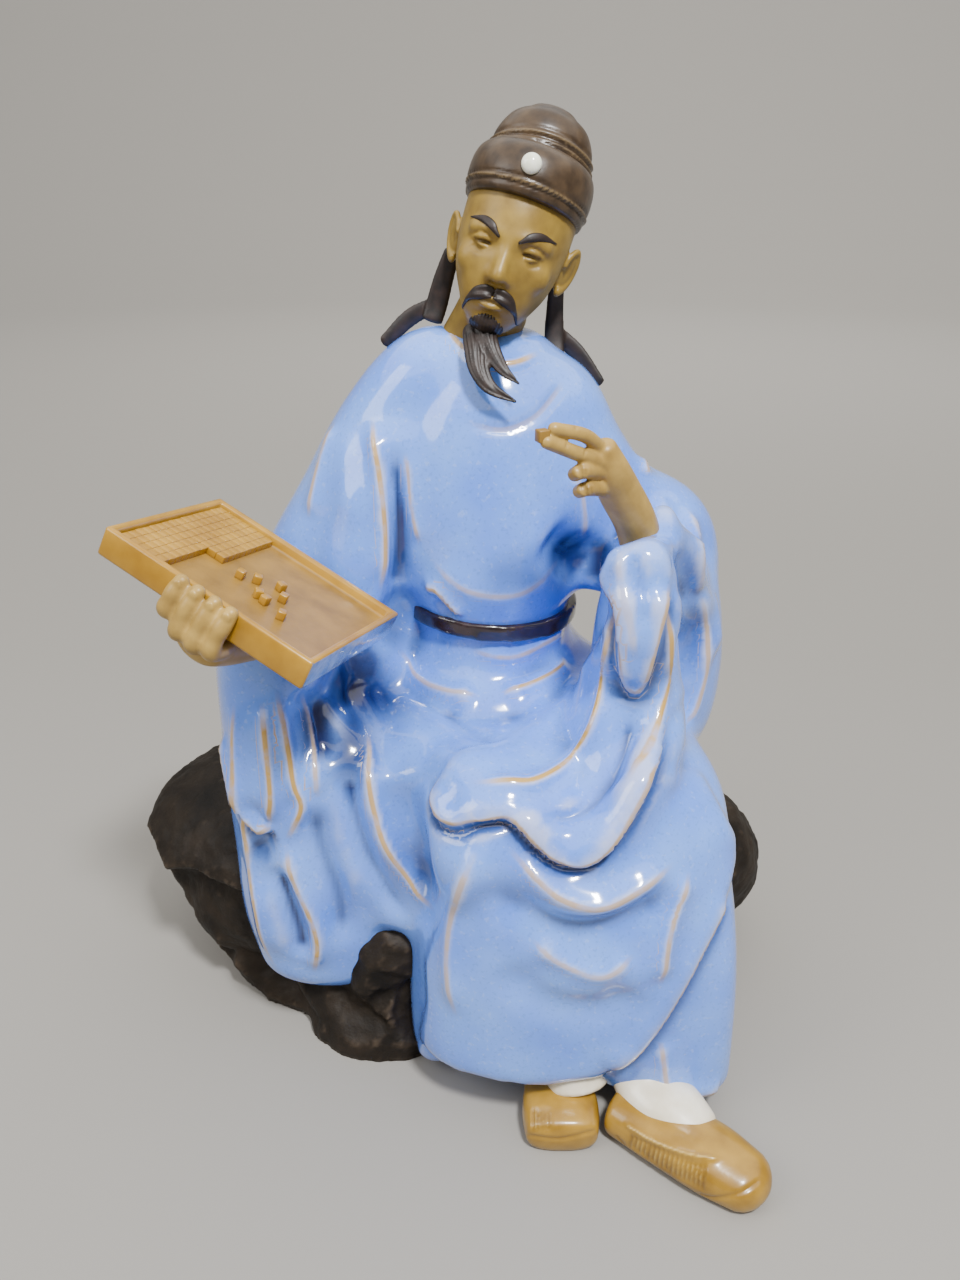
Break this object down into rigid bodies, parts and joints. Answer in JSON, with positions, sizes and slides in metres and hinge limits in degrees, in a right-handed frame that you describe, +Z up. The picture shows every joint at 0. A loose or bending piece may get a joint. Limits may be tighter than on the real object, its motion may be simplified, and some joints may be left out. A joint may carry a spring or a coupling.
{
  "type": "pottery figure",
  "caption": "Glazed pottery figure of a bearded scholar in a blue robe, seated on a dark rock with a tray of movable type in one hand.",
  "frame": {"origin": "on the ground, under the middle of the figure's overall width and depth", "axes": "+Z up, the figure faces -Y, the tray is on its -X side and the raised hand on its +X side"},
  "size_m": [0.2382, 0.198, 0.2989],
  "materials": {
    "blue_glaze": "glossy light blue glaze, buff where it runs thin",
    "rock_biscuit": "matte dark brown unglazed clay",
    "skin_biscuit": "semi-matte ochre clay",
    "cap_slip": "semi-gloss dark brown slip",
    "hair_slip": "black-brown slip",
    "belt_glaze": "glossy black-brown glaze",
    "tray_slip": "semi-gloss yellow ochre slip",
    "shoe_slip": "semi-gloss ochre slip",
    "sock_glaze": "cream glaze",
    "pearl_glaze": "glossy white glaze"
  },
  "bodies": {
    "root": {"pottery_figure": "blue_glaze"}
  },
  "joints": []
}
